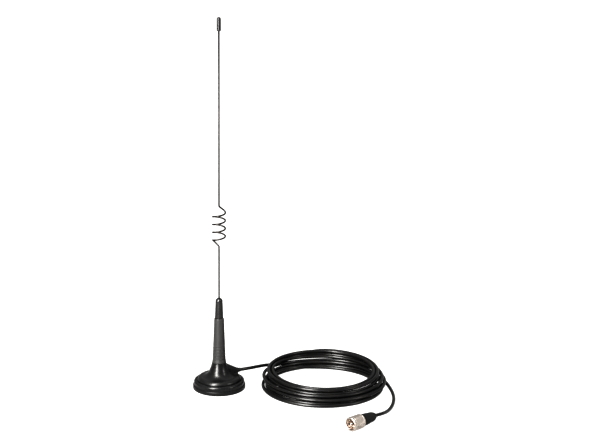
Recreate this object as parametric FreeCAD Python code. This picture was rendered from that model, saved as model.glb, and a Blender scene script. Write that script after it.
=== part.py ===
import FreeCAD, Part
import math
import os

# Magnet-mount whip antenna for a radio: a domed magnetic base with a short loaded mast, a steel
# whip wound into an open coil at mid height, and a thin coaxial lead that ends in a UHF plug.
# Millimetres. +Z is up, and the origin is the centre of the base's resting face.

V = FreeCAD.Vector
UP = V(0, 0, 1)

# ---------------------------------------------------------------- driving dimensions
BASE_R = 38.1            # 3 inch magnet mount
LEAD_R = 2.475           # RG-58 size coaxial lead
TOTAL_H = 532.5          # resting face to the top of the tip cap

# base, from the floor up
PAD_T = 0.8              # scratch-proof film under the magnet
SKIRT_H = 5.8
CUP_R = 36.7
CUP_WALL = 2.0
CUP_SEAT_Z = 12.2        # top face of the cup, where the cover stands
COVER_R = 31.5
NECK_TOP_Z = 38.4        # where the mast sleeve starts
NECK_BORE_R = 8.0

# mast
SLEEVE_TOP_Z = 105.2
SLEEVE_TOP_R = 7.0
SLEEVE_FOOT_R = 10.2
SLEEVE_BORE_R = 5.3
GROOVE_Z = [62.5, 58.0, 53.3, 48.5, 43.8]

# threads are plain cylinders with a running gap
GAP = 0.05
STUD_R = 2.5
STUD_TOP_Z = 114.0
SCREW_Z = 122.0          # height of the set screw that grips the whip
SCREW_R = 1.5

# whip
WHIP_R = 1.2
FERRULE_TOP_Z = 135.2
COIL_R = 8.9             # centre line of the open coil
COIL_PITCH = 11.3
COIL_TURNS = 3.5
COIL_START_Z = 220.8
WHIP_BEND_R = 3.2        # inside the forming bends at the coil's two ends
CAP_FOOT_Z = 513.7
CAP_R = 2.9

# cable outlet of the base cover
OUTLET_AZ = 22.0         # degrees from +X
OUTLET_END = 28.2        # distance of its end face from the mast's axis
OUTLET_Z = 21.9

# plug, lying on the floor on its coupling ring
RING_R = 9.8
RING_LEN = 20.5
PLUG_AZ = 38.0           # direction from the mouth back to the cable
PLUG_MOUTH = V(172.2, -169.4, RING_R)
BOOT_END = 48.0          # from the mouth

# the bundle of loose turns that lies beside the base
COIL_CENTRE = V(152.8, 3.0, 0)
BUNDLE_IN = 66.8
BUNDLE_OUT = 92.0
BUNDLE_H = 21.5


# ---------------------------------------------------------------- shape helpers
def edges_of(outline):
    """Edges through (x, z) points. An item made of two points is an arc: its middle and its end."""
    edges = []
    here = outline[0]
    for item in list(outline[1:]) + [outline[0]]:
        start = V(here[0], 0, here[1])
        if isinstance(item[0], tuple):
            middle, here = item
            arc = Part.Arc(start, V(middle[0], 0, middle[1]), V(here[0], 0, here[1]))
            edges.append(arc.toShape())
        elif math.dist(here, item) > 1e-6:
            here = item
            edges.append(Part.LineSegment(start, V(here[0], 0, here[1])).toShape())
    return edges


def turned(outline):
    """Solid of revolution about Z from a closed outline of (radius, z) points and arcs."""
    face = Part.Face(Part.Wire(edges_of(outline)))
    return face.revolve(V(0, 0, 0), UP, 360)


def rod(radius, z0, z1, x=0.0, y=0.0):
    return Part.makeCylinder(radius, z1 - z0, V(x, y, z0))


def ring(r_out, r_in, z0, z1):
    return rod(r_out, z0, z1).cut(rod(r_in, z0 - 1, z1 + 1))


def hexagon(across_flats, z0, z1):
    r = across_flats / math.sqrt(3)
    corners = [V(r * math.cos(math.radians(a)), r * math.sin(math.radians(a)), z0) for a in range(0, 361, 60)]
    return Part.Face(Part.makePolygon(corners)).extrude(V(0, 0, z1 - z0))


def rounded_path(points, bend=None):
    """Straight runs joined by tangent arcs. Gives the wire, its length and the arcs' radii.

    An arc has the radius bend, or, where none is given, the one that uses 0.45 of its shorter run.
    """
    edges = []
    radii = []
    here = points[0]
    for a, b, c in zip(points, points[1:], points[2:]):
        run_in = (b - a).normalize()
        run_out = (c - b).normalize()
        half_turn = run_in.getAngle(run_out) / 2
        radius = bend or 0.45 * min((b - a).Length, (c - b).Length) / math.tan(half_turn)
        reach = radius * math.tan(half_turn)
        inward = (run_out - run_in).normalize()
        middle = b + inward * (radius / math.cos(half_turn) - radius)
        edges.append(Part.LineSegment(here, b - run_in * reach).toShape())
        here = b + run_out * reach
        edges.append(Part.Arc(b - run_in * reach, middle, here).toShape())
        radii.append(round(radius, 1))
    edges.append(Part.LineSegment(here, points[-1]).toShape())
    wire = Part.Wire(edges)
    return wire, radii


def swept(wire, radius, start, direction):
    """Round section carried along a wire."""
    section = Part.Wire([Part.Circle(start, direction, radius).toShape()])
    return wire.makePipeShell([section], True, True)


def tube(name, points, radius):
    """Cord or wire along a rounded path, with its volume compared with section times length."""
    wire, radii = rounded_path(points)
    solid = swept(wire, radius, points[0], points[1] - points[0])
    report_sweep(name, solid, wire, radius, radii)
    return solid


def report_sweep(name, solid, wire, radius, radii):
    ratio = solid.Volume / (math.pi * radius ** 2 * wire.Length)
    print("%s: length %.1f, volume ratio %.4f, radii %s" % (name, wire.Length, ratio, radii))


def turned_to(shape, azimuth, place):
    """Lay a shape that was turned about Z along the floor direction azimuth, and move it to place."""
    laid = shape.copy()
    laid.rotate(V(0, 0, 0), V(0, 1, 0), 90)
    laid.rotate(V(0, 0, 0), UP, azimuth)
    laid.translate(place)
    return laid


def outlet(u, v, z):
    """Point u out along the cable outlet, v to its left, at height z."""
    a = math.radians(OUTLET_AZ)
    return V(u * math.cos(a) - v * math.sin(a), u * math.sin(a) + v * math.cos(a), z)


def behind_mouth(s):
    """Point on the plug's axis, s behind its mouth."""
    a = math.radians(PLUG_AZ)
    return PLUG_MOUTH + V(s * math.cos(a), s * math.sin(a), 0)


# ---------------------------------------------------------------- base
def base_pad():
    return rod(CUP_R - 0.1, 0, PAD_T)


def rubber_skirt():
    inner = CUP_R + 0.02
    return turned([(inner, 0), (BASE_R - 0.8, 0), ((BASE_R - 0.23, 0.23), (BASE_R, 0.8)), (BASE_R, SKIRT_H - 1.0),
                   ((BASE_R - 0.3, SKIRT_H - 0.3), (BASE_R - 0.9, SKIRT_H)), (inner, SKIRT_H)])


def cover_screw_spots():
    """Three screws, set well clear of the cable outlet."""
    return [(22 * math.cos(math.radians(a)), 22 * math.sin(math.radians(a))) for a in (112, 202, 292)]


def magnet_cup():
    """Pressed steel pot, open below, with a rounded shoulder and a seat for the cover."""
    inner = CUP_R - CUP_WALL
    roof = CUP_SEAT_Z - CUP_WALL
    cup = turned([(0, roof), (inner - 0.6, roof), ((inner - 0.18, roof - 0.18), (inner, roof - 0.6)), (inner, PAD_T),
                  (CUP_R, PAD_T), (CUP_R, 9.8), ((CUP_R - 1.0, 12.1), (33.6, 13.0)),
                  ((32.9, 12.8), (32.4, CUP_SEAT_Z)), (0, CUP_SEAT_Z)])
    cup = cup.cut(rod(STUD_R + 0.1, roof - 1, CUP_SEAT_Z + 1))
    for x, y in cover_screw_spots():
        cup = cup.cut(rod(1.6, roof - 1, CUP_SEAT_Z + 1, x, y))
        cup = cup.cut(Part.makeCone(3.0, 1.6, 1.5, V(x, y, roof)))
    return cup


def ring_magnet():
    return ring(34.3, 13.0, PAD_T + 0.2, CUP_SEAT_Z - CUP_WALL - 0.05)


def pole_disc():
    top = CUP_SEAT_Z - CUP_WALL
    disc = ring(12.6, STUD_R + 0.1, PAD_T + 0.2, top)
    return disc.cut(rod(4.6, 0, 5.2))


def centre_bolt():
    """Socket-head bolt that clamps the pole, the cup and the insulating bush together."""
    bolt = rod(4.4, 1.4, 5.2).fuse(rod(STUD_R, 5.2, 26.0))
    return bolt.cut(hexagon(4.0, 1.0, 3.6)).removeSplitter()


def ground_lug():
    """Tinned solder tag under the bush, for the braid of the lead."""
    tag = rod(5.4, CUP_SEAT_Z, CUP_SEAT_Z + 0.7)
    strip = Part.makeBox(12.5, 4.4, 0.7, V(0, -2.2, CUP_SEAT_Z))
    strip.rotate(V(0, 0, 0), UP, OUTLET_AZ)
    return tag.fuse(strip).removeSplitter().cut(rod(STUD_R + 0.1, 10, 15))


def insulator_bush():
    bottom = CUP_SEAT_Z + 0.7
    return rod(6.2, bottom, 30.0).cut(rod(STUD_R + GAP, bottom - 1, 27.0))


def bottom_terminal():
    """Brass disc with a spigot for the former and a tag for the core of the lead."""
    disc = rod(5.0, 30.0, 31.0).fuse(rod(1.9, 31.0, 37.0))
    tag = Part.makeBox(8.0, 2.4, 1.0, V(0, -1.2, 30.0))
    tag.rotate(V(0, 0, 0), UP, OUTLET_AZ)
    return disc.fuse(tag).removeSplitter()


def arch_section(u, width, top):
    """Outline across the outlet at distance u: upright sides under a half-round top."""
    r = width / 2
    shoulder = top - r
    low = 14.0
    a = outlet(u, -r, low)
    b = outlet(u, -r, shoulder)
    c = outlet(u, 0, top)
    d = outlet(u, r, shoulder)
    e = outlet(u, r, low)
    return Part.Wire([Part.LineSegment(a, b).toShape(), Part.Arc(b, c, d).toShape(),
                      Part.LineSegment(d, e).toShape(), Part.LineSegment(e, a).toShape()])


def base_cover():
    """Moulded bell: a low dome that sweeps up into the neck, with a ridge over the cable."""
    outer = turned([(0, CUP_SEAT_Z + 0.2), (COVER_R, CUP_SEAT_Z + 0.2), ((30.3, 16.0), (26.0, 17.9)),
                    ((18.1, 20.7), (14.1, 27.0)), ((12.1, 32.0), (10.4, NECK_TOP_Z)), (0, NECK_TOP_Z)])
    ridge = Part.makeLoft([arch_section(8.0, 16.0, 37.0), arch_section(OUTLET_END, 8.6, 25.9)], True, True)
    hollow = turned([(0, 12), (29.4, 12), (29.4, 13.4), ((28.0, 15.2), (25.4, 15.8)),
                     ((17.0, 18.2), (12.0, 25.4)), (NECK_BORE_R, 31.5), (NECK_BORE_R, 40), (0, 40)])
    cover = outer.fuse(ridge).cut(hollow)
    for x, y in cover_screw_spots():
        boss = rod(3.2, CUP_SEAT_Z + 0.2, 17.0, x, y).common(outer)
        cover = cover.fuse(boss).cut(rod(SCREW_R, 12, 16.2, x, y))
    bore = Part.makeCylinder(3.3, OUTLET_END - 8, outlet(10.0, 0, OUTLET_Z), outlet(1, 0, 0))
    return cover.cut(bore).removeSplitter()


def cover_screws():
    """Three countersunk screws, put in from under the cup before the magnet is bonded."""
    roof = CUP_SEAT_Z - CUP_WALL
    screws = []
    for x, y in cover_screw_spots():
        head = Part.makeCone(2.85, 1.45, 1.4, V(x, y, roof + 0.08))
        shank = rod(SCREW_R - GAP, roof + 1.2, 15.9, x, y)
        screws.append(head.fuse(shank).removeSplitter())
    return Part.makeCompound(screws)


def cable_grommet():
    """Rubber strain relief: a plug in the outlet with a short tapered nose."""
    body = turned([(LEAD_R + 0.03, 0), (3.25, 0), (3.25, 8.0), (3.7, 8.0), (3.7, 8.8), (2.85, 14.0),
                   (LEAD_R + 0.03, 14.0)])
    return turned_to(body, OUTLET_AZ, outlet(OUTLET_END - 8.0, 0, OUTLET_Z))


def lead_inner():
    """End of the lead inside the base, up to the tip of the grommet."""
    start = 13.0
    return Part.makeCylinder(LEAD_R, OUTLET_END + 6.0 - start, outlet(start, 0, OUTLET_Z), outlet(1, 0, 0))


def core_wire():
    points = [outlet(13.0, 0, OUTLET_Z), outlet(9.2, 0, OUTLET_Z), outlet(7.2, 0, 25.6), outlet(7.2, 0, 30.0)]
    return tube("core_wire", points, 0.6)


def braid_pigtail():
    low = CUP_SEAT_Z + 0.7
    start_z = OUTLET_Z - 1.5
    points = [outlet(13.0, 0, start_z), outlet(10.2, 0, start_z), outlet(9.4, 0, 16.8), outlet(9.4, 0, low)]
    return tube("braid_pigtail", points, 0.7)


# ---------------------------------------------------------------- mast
def sleeve_radius(z):
    """Outer radius of the mast sleeve: a straight taper with a flared foot."""
    down = (SLEEVE_TOP_Z - z) / (SLEEVE_TOP_Z - 44.0)
    if down <= 1:
        return SLEEVE_TOP_R + 2.45 * down
    foot = (44.0 - z) / (44.0 - NECK_TOP_Z)
    return SLEEVE_TOP_R + 2.45 + (SLEEVE_FOOT_R - SLEEVE_TOP_R - 2.45) * foot


def coil_sleeve():
    """Rubber-finished tapered tube with five ring grooves near its foot and a spigot below."""
    outline = [(SLEEVE_BORE_R, 33.0), (NECK_BORE_R - GAP, 33.0), (NECK_BORE_R - GAP, NECK_TOP_Z + 0.1),
               (SLEEVE_FOOT_R - 0.5, NECK_TOP_Z + 0.1), (SLEEVE_FOOT_R, NECK_TOP_Z + 0.7)]
    for z in reversed(GROOVE_Z):
        r = sleeve_radius(z)
        outline += [(r, z - 0.7), ((r - 0.55, z), (r, z + 0.7))]
    outline += [(SLEEVE_TOP_R + 0.1, SLEEVE_TOP_Z - 0.8), (SLEEVE_TOP_R - 0.4, SLEEVE_TOP_Z), (4.45, SLEEVE_TOP_Z),
                (4.45, 101.0), (SLEEVE_BORE_R, 101.0)]
    return turned(outline)


def coil_former():
    former = rod(4.0, 31.0, 98.0)
    former = former.cut(rod(1.9 + GAP, 30.0, 37.2))
    return former.cut(rod(1.9 + GAP, 90.0, 99.0))


def loading_coil():
    """Copper wire wound on the former between the two terminals."""
    r = 4.62
    start_z = 34.0
    helix = Part.makeHelix(4.4, 61.6, r)
    helix.translate(V(0, 0, start_z))
    climb = 4.4 / (2 * math.pi * r)
    return swept(Part.Wire(helix.Edges), 0.45, V(r, 0, start_z), V(0, 1, climb))


def top_terminal():
    """Brass stud on top of the mast. The whip's ferrule screws onto it."""
    return turned([(0, 90.2), (1.9, 90.2), (1.9, 98.0), (SLEEVE_BORE_R - 0.1, 98.0), (SLEEVE_BORE_R - 0.1, 100.9),
                   (4.35, 100.9), (4.35, SLEEVE_TOP_Z), (STUD_R, SLEEVE_TOP_Z), (STUD_R, STUD_TOP_Z - 0.6),
                   (STUD_R - 0.6, STUD_TOP_Z), (0, STUD_TOP_Z)])


# ---------------------------------------------------------------- whip
def ferrule_seal():
    """Flat rubber washer between the ferrule and the mast."""
    return ring(4.3, STUD_R + GAP, SLEEVE_TOP_Z, SLEEVE_TOP_Z + 1.0)


def whip_ferrule():
    """Turned ferrule with a rounded top, a threaded socket below and the whip's bore above."""
    foot = SLEEVE_TOP_Z + 0.3
    seat = SLEEVE_TOP_Z + 1.0
    body = turned([(4.4, foot), (5.9, foot), (6.1, foot + 0.5), (5.15, 130.0), ((4.3, 133.4), (2.2, FERRULE_TOP_Z)),
                   (WHIP_R + GAP, FERRULE_TOP_Z), (WHIP_R + GAP, 117.2), (0, 117.2), (0, 115.0),
                   (STUD_R + GAP, 115.0), (STUD_R + GAP, seat), (4.4, seat)])
    hole = Part.makeCylinder(SCREW_R + GAP, 10, V(0, 0.2, SCREW_Z), V(0, 1, 0))
    return body.cut(hole)


def set_screw():
    """Headless socket screw that grips the whip, on the rear of the ferrule."""
    screw = rod(SCREW_R, 0, 3.5).cut(hexagon(1.5, 2.0, 4.0))
    screw.rotate(V(0, 0, 0), V(1, 0, 0), -90)
    screw.translate(V(0, 1.55, SCREW_Z))
    return screw


def whip_rod():
    """One spring-steel wire: straight, wound into an open right-handed coil, and straight again."""
    height = COIL_PITCH * COIL_TURNS
    climb = COIL_PITCH / (2 * math.pi)
    slope = math.hypot(COIL_R, climb)
    lead_in = 6.0
    low = V(-COIL_R, 0, COIL_START_Z)
    high = V(COIL_R, 0, COIL_START_Z + height)
    start_way = V(0, -COIL_R / slope, climb / slope)
    end_way = V(0, COIL_R / slope, climb / slope)
    below = [V(0, 0, 120.4), V(0, 0, COIL_START_Z - 9.0), low - start_way * lead_in, low]
    above = [high, high + end_way * lead_in, V(0, 0, high.z + 9.2), V(0, 0, TOTAL_H - 2.5)]
    helix = Part.makeHelix(COIL_PITCH, height, COIL_R)
    helix.rotate(V(0, 0, 0), UP, 180)
    helix.translate(V(0, 0, COIL_START_Z))
    first, first_radii = rounded_path(below, WHIP_BEND_R)
    last, last_radii = rounded_path(above, WHIP_BEND_R)
    path = Part.Wire(first.Edges + helix.Edges + last.Edges)
    solid = swept(path, WHIP_R, below[0], UP)
    report_sweep("whip_rod", solid, path, WHIP_R, first_radii + last_radii)
    return solid


def tip_cap():
    """Moulded cap on the whip's end, with a half-round top."""
    bore = WHIP_R + 0.02
    round_z = TOTAL_H - CAP_R
    diagonal = CAP_R * math.sqrt(0.5)
    return turned([(bore, CAP_FOOT_Z), (CAP_R - 0.5, CAP_FOOT_Z), ((CAP_R - 0.15, CAP_FOOT_Z + 0.15),
                   (CAP_R, CAP_FOOT_Z + 0.5)), (CAP_R, round_z), ((diagonal, round_z + diagonal), (0, TOTAL_H)),
                   (0, TOTAL_H - 2.4), (bore, TOTAL_H - 2.4)])


# ---------------------------------------------------------------- lead
def lead_out_route():
    """From the grommet's nose, falling gently towards the bundle and into its outer turns."""
    return [outlet(OUTLET_END + 6.0, 0, OUTLET_Z), outlet(OUTLET_END + 20.0, 0, OUTLET_Z), V(59.0, 34.4, 18.6),
            V(73.4, 51.6, 14.6), V(82.6, 64.4, 12.0)]


def lead_tail_route():
    """Out of the bundle's right side, round on the floor, and up to the plug's boot."""
    boot_way = behind_mouth(1.0) - behind_mouth(0)
    return [V(238.6, 28.0, LEAD_R), V(244.0, 12.0, LEAD_R), V(247.6, -8.0, LEAD_R), V(249.4, -32.0, LEAD_R),
            V(248.8, -56.0, LEAD_R), V(244.6, -78.0, LEAD_R), V(237.6, -98.0, LEAD_R), V(228.8, -116.0, 4.6),
            behind_mouth(BOOT_END) + boot_way * 12.5 + V(0, 0, -0.9), behind_mouth(BOOT_END)]


def lead_out():
    return tube("lead_out", lead_out_route(), LEAD_R)


def lead_tail():
    return tube("lead_tail", lead_tail_route(), LEAD_R)


def lead_coil():
    """Outer shape of the bundle of loose turns."""
    edge = 5.0
    h = BUNDLE_H
    cut = edge * (1 - math.sqrt(0.5))
    bundle = turned([(BUNDLE_IN + edge, 0), (BUNDLE_OUT - edge, 0),
                     ((BUNDLE_OUT - cut, cut), (BUNDLE_OUT, edge)), (BUNDLE_OUT, h - edge),
                     ((BUNDLE_OUT - cut, h - cut), (BUNDLE_OUT - edge, h)), (BUNDLE_IN + edge, h),
                     ((BUNDLE_IN + cut, h - cut), (BUNDLE_IN, h - edge)), (BUNDLE_IN, edge),
                     ((BUNDLE_IN + cut, cut), (BUNDLE_IN + edge, 0))])
    bundle.translate(COIL_CENTRE)
    return bundle


# ---------------------------------------------------------------- plug
def on_plug(shape):
    return turned_to(shape, PLUG_AZ, PLUG_MOUTH)


def plug_ring():
    """Coupling ring: threaded mouth, knurled outside, and a lip that holds it on the body."""
    r = RING_R
    return on_plug(turned([(7.9, 0), (r - 0.7, 0), (r, 0.7), (r, RING_LEN - 1.2), (r - 1.0, RING_LEN),
                           (6.45, RING_LEN), (6.45, 15.6), (7.6, 15.6), (7.6, 0.4)]))


def plug_body():
    """Nickel-plated body: contact sleeve with four notches, flange, barrel and crimp neck."""
    body = turned([(5.2, 8.6), (6.15, 8.6), (6.15, 12.4), (7.52, 12.4), (7.52, 15.3), (6.38, 15.3), (6.38, 25.5),
                   (4.0, 25.5), (4.0, 36.0), (3.3, 36.0), (3.3, 20.2), (5.2, 20.2)])
    for turn in range(0, 180, 90):
        notch = Part.makeBox(16, 1.4, 1.4, V(-8, -0.7, 8.0))
        notch.rotate(V(0, 0, 0), UP, turn + 45)
        body = body.cut(notch)
    return on_plug(body)


def plug_insulator():
    """Phenolic bead that carries the centre pin."""
    return on_plug(turned([(1.98, 10.2), (5.2, 10.2), (5.2, 20.0), (1.98, 20.0)]))


def plug_pin():
    """Hollow centre contact with a rounded tip."""
    return on_plug(turned([(0.9, 1.0), (1.4, 1.0), (1.98, 1.9), (1.98, 26.0), (0.9, 26.0)]))


def crimp_ferrule():
    return on_plug(ring(4.7, 4.0, 26.2, 37.0))


def plug_boot():
    """Rubber boot over the rear of the plug: a long taper that rounds in to the cable."""
    return on_plug(turned([(6.4, 20.9), (8.2, 20.9), ((8.0, 28.0), (7.0, 36.0)), ((6.5, 41.0), (5.6, 43.6)),
                           ((4.6, 45.6), (3.3, 46.6)), (3.1, BOOT_END), (LEAD_R + 0.03, BOOT_END),
                           (LEAD_R + 0.03, 38.0), (4.8, 38.0), (4.8, 25.6), (6.4, 25.6)]))


NODES = [base_pad, rubber_skirt, magnet_cup, ring_magnet, pole_disc, centre_bolt, ground_lug, insulator_bush,
         bottom_terminal, base_cover, cover_screws, cable_grommet, lead_inner, core_wire, braid_pigtail,
         coil_sleeve, coil_former, loading_coil, top_terminal, ferrule_seal, whip_ferrule, set_screw, whip_rod,
         tip_cap, lead_out, lead_coil, lead_tail, plug_boot, plug_body, crimp_ferrule, plug_insulator, plug_pin,
         plug_ring]

os.makedirs("parts", exist_ok=True)
for node in NODES:
    shape = node()
    print("%-16s valid %s, solids %d, volume %.1f" % (node.__name__, shape.isValid(), len(shape.Solids), shape.Volume))
    shape.exportStep("parts/" + node.__name__ + ".step")
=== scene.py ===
import math

import bmesh
import bpy
import numpy as np
from mathutils import Matrix, Vector


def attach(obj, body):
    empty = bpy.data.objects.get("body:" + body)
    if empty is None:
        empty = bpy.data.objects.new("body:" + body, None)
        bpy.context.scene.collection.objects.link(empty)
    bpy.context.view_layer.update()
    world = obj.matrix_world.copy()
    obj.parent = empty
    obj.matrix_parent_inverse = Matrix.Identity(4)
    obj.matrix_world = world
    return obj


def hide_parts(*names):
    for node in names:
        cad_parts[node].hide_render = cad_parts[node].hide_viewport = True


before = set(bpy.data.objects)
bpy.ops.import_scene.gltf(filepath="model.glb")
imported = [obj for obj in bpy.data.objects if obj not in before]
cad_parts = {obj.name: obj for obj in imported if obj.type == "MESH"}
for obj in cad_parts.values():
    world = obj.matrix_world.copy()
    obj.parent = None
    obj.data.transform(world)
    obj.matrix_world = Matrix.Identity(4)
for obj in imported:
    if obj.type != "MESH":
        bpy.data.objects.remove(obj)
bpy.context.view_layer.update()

# Magnet-mount whip antenna: a bell-shaped magnetic base, a tapered loaded mast, a steel whip with an open
# coil, and a coaxial lead that lies in loose turns beside the base and ends in a nickel plug. Objects are in
# metres. Outlines are listed in millimetres as (radius, height) points, and mesh_piece brings them to
# metres.
scene = bpy.context.scene


# ------------------------------------------------------------------ camera, floor and light
# A studio table: a pale seamless floor under a bright dome, one tall soft box at the front left that draws
# the long highlights on the black parts, a small one at the right, and a strip overhead for the rims of the
# base.
def camera_at(place, heading, dip, roll, focal):
    """Camera looking along heading (from +Y towards +X), dip below level, rolled about its own line."""
    ahead = Vector((math.sin(heading) * math.cos(dip), math.cos(heading) * math.cos(dip), -math.sin(dip)))
    level = Vector((math.cos(heading), -math.sin(heading), 0))
    upright = level.cross(ahead)
    across = level * math.cos(roll) + upright * math.sin(roll)
    above = upright * math.cos(roll) - level * math.sin(roll)
    lens = bpy.data.cameras.new("camera")
    lens.lens = focal
    lens.sensor_width = 36.0
    lens.clip_end = 200.0
    made = bpy.data.objects.new("camera", lens)
    made.matrix_world = Matrix.Translation(place) @ Matrix((across, above, -ahead)).transposed().to_4x4()
    scene.collection.objects.link(made)
    return made


scene.camera = camera_at(place=Vector((-0.0101, -1.5685, 0.6058)), heading=math.radians(4.936),
                         dip=math.radians(12.723), roll=math.radians(0.947), focal=66.498)


def soft_box(name, place, aim, width, height, power, colour=(1, 1, 1)):
    """Rectangular area lamp at place, facing the point aim."""
    lamp = bpy.data.lights.new(name, "AREA")
    lamp.shape = "RECTANGLE"
    lamp.size = width
    lamp.size_y = height
    lamp.energy = power
    lamp.color = colour
    made = bpy.data.objects.new(name, lamp)
    made.location = place
    made.rotation_euler = (Vector(aim) - Vector(place)).to_track_quat("-Z", "Y").to_euler()
    scene.collection.objects.link(made)


soft_box("box_left", (-0.66, -1.1, 0.8), (0, 0, 0.1), 0.52, 1.6, 54, (1, 0.985, 0.96))
soft_box("box_right", (1.35, -0.75, 0.75), (0.1, 0, 0.1), 0.3, 0.7, 4, (1, 0.98, 0.96))
soft_box("strip_above", (-0.28, -0.42, 1.15), (0.06, -0.02, 0), 0.6, 0.25, 2)


class Signal:
    """A node's output. Arithmetic on signals adds Math nodes."""

    def __init__(self, finish, socket):
        self.finish = finish
        self.socket = socket

    def math(self, operation, first, second):
        return self.finish.node("ShaderNodeMath", {"operation": operation}, {0: first, 1: second})

    def __add__(self, other):
        return self.math("ADD", self, other)

    def __radd__(self, other):
        return self.math("ADD", other, self)

    def __sub__(self, other):
        return self.math("SUBTRACT", self, other)

    def __rsub__(self, other):
        return self.math("SUBTRACT", other, self)

    def __mul__(self, other):
        return self.math("MULTIPLY", self, other)

    def __rmul__(self, other):
        return self.math("MULTIPLY", other, self)


class Finish:
    """Nodes of a material or of the world. Constants go straight on to the shader's own sockets."""

    def __init__(self, block, shader, constants):
        block.use_nodes = True
        self.block = block
        self.tree = block.node_tree
        self.shader = self.tree.nodes[shader]
        for socket, value in constants.items():
            self.shader.inputs[socket.replace("_", " ")].default_value = value

    def node(self, kind, settings=None, values=None, output=0):
        """Adds a node, applies its settings, then sets or links its sockets. Gives one output as a Signal."""
        made = self.tree.nodes.new(kind)
        for name, value in (settings or {}).items():
            setattr(made, name, value)
        for name, value in (values or {}).items():
            self.feed(made.inputs[name], value)
        return Signal(self, made.outputs[output])

    def feed(self, socket, value):
        if isinstance(value, Signal):
            self.tree.links.new(value.socket, socket)
        else:
            socket.default_value = value

    def set(self, name, value):
        self.feed(self.shader.inputs[name], value)

    def stretched(self, scale):
        """Object coordinates, stretched."""
        here = self.node("ShaderNodeTexCoord", output="Object")
        return self.node("ShaderNodeMapping", values={"Vector": here, "Scale": scale})

    def noise(self, scale, detail=2.0, rough=0.5, at=None):
        """Noise from 0 to 1, its features about 1 / scale of a metre across."""
        return self.node("ShaderNodeTexNoise", {"noise_dimensions": "3D"},
                         {"Vector": at or self.stretched((1, 1, 1)), "Scale": scale, "Detail": detail,
                          "Roughness": rough})

    def between(self, signal, low, high):
        """The part of a signal between low and high, spread from 0 to 1."""
        return self.node("ShaderNodeMapRange", {"clamp": True},
                         {"Value": signal, "From Min": low, "From Max": high, "To Min": 0.0, "To Max": 1.0})

    def blend(self, share, first, second):
        """Colour that goes from first to second as share goes from 0 to 1."""
        return self.node("ShaderNodeMix", {"data_type": "RGBA"}, {0: share, 6: first, 7: second}, output=2)

    def bump(self, height, depth, under=None):
        """Relief of a height signal, depth metres deep, on top of an earlier relief."""
        values = {"Strength": 1.0, "Distance": depth, "Height": height}
        if under is not None:
            values["Normal"] = under
        return self.node("ShaderNodeBump", values=values)


def finish_of(name, **constants):
    return Finish(bpy.data.materials.new(name), "Principled BSDF", constants)


def studio_dome():
    """World light: dim at the horizon and bright overhead, a + b z squared, and white to the camera."""
    dome = Finish(bpy.data.worlds.new("dome"), "Background", {"Color": (1, 0.995, 0.985, 1)})
    way = dome.node("ShaderNodeTexCoord", output="Generated")
    rise = dome.node("ShaderNodeSeparateXYZ", values={0: way}, output="Z")
    lit = 0.22 + 0.35 * rise * rise
    seen = dome.node("ShaderNodeLightPath", output="Is Camera Ray")
    dome.set("Strength", lit + seen * (1.0 - lit))
    return dome.block


scene.world = studio_dome()
scene.view_settings.view_transform = "Standard"
scene.view_settings.look = "High Contrast"


def table_finish():
    """Pale translucent table, lit from below so that shadows stay faint, and dim where pieces mirror it."""
    finish = finish_of("light_table", Roughness=0.9, Specular_IOR_Level=0.0, Emission_Strength=1.0)
    seen = finish.node("ShaderNodeLightPath", output="Is Camera Ray")
    finish.set("Emission Color", finish.blend(seen, (0.1, 0.1, 0.1, 1), (0.78, 0.78, 0.775, 1)))
    cloud = finish.noise(3.0, 4.0)
    finish.set("Base Color", finish.blend(cloud, (0.29, 0.29, 0.288, 1), (0.31, 0.31, 0.308, 1)))
    return finish.block


def mesh_piece(name, points, faces, material, smooth=True, relief=None):
    """Object at the origin from arrays of points in millimetres and of faces, which are turned outwards."""
    mesh = bpy.data.meshes.new(name)
    mesh.from_pydata((points * 0.001).tolist(), [], faces.tolist())
    if relief is not None:
        mesh.attributes.new("relief", "FLOAT", "POINT").data.foreach_set("value", relief.ravel())
    work = bmesh.new()
    work.from_mesh(mesh)
    bmesh.ops.remove_doubles(work, verts=work.verts, dist=1e-7)
    bmesh.ops.recalc_face_normals(work, faces=work.faces)
    work.to_mesh(mesh)
    work.free()
    if smooth:
        mesh.shade_smooth()
    mesh.materials.append(material)
    made = bpy.data.objects.new(name, mesh)
    scene.collection.objects.link(made)
    return made


FLOOR_HALF = 60000.0
FLOOR_DROP = 0.1         # keeps the floor's face clear of the pieces that rest on it
floor_points = FLOOR_HALF * np.array([(-1, -1, 0), (1, -1, 0), (1, 1, 0), (-1, 1, 0)], float)
floor = mesh_piece("floor", floor_points - (0, 0, FLOOR_DROP), np.array([(0, 1, 2, 3)]), table_finish(),
                   smooth=False)


# ------------------------------------------------------------------ magnet, inside and underneath
# A ferrite ring round a steel pole plate, clamped by a socket bolt, with a scratch-proof film bonded below
# them. Three countersunk screws hold the bell to the cup. All of these keep their CAD shape.
def moulded_finish(name, dark, light, rough, spread, patch=40.0, grain=2500.0, depth=0.000006, **constants):
    """Moulded plastic or rubber: slow patches between two shades, and a fine grain in gloss and relief."""
    finish = finish_of(name, **constants)
    patches = finish.between(finish.noise(patch, 4.0, 0.6), 0.35, 0.7)
    fine = finish.noise(grain, 3.0, 0.65)
    finish.set("Base Color", finish.blend(patches, (*dark, 1), (*light, 1)))
    finish.set("Roughness", rough + spread * (0.7 * patches + 0.6 * fine))
    finish.set("Normal", finish.bump(fine, depth))
    return finish.block


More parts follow.
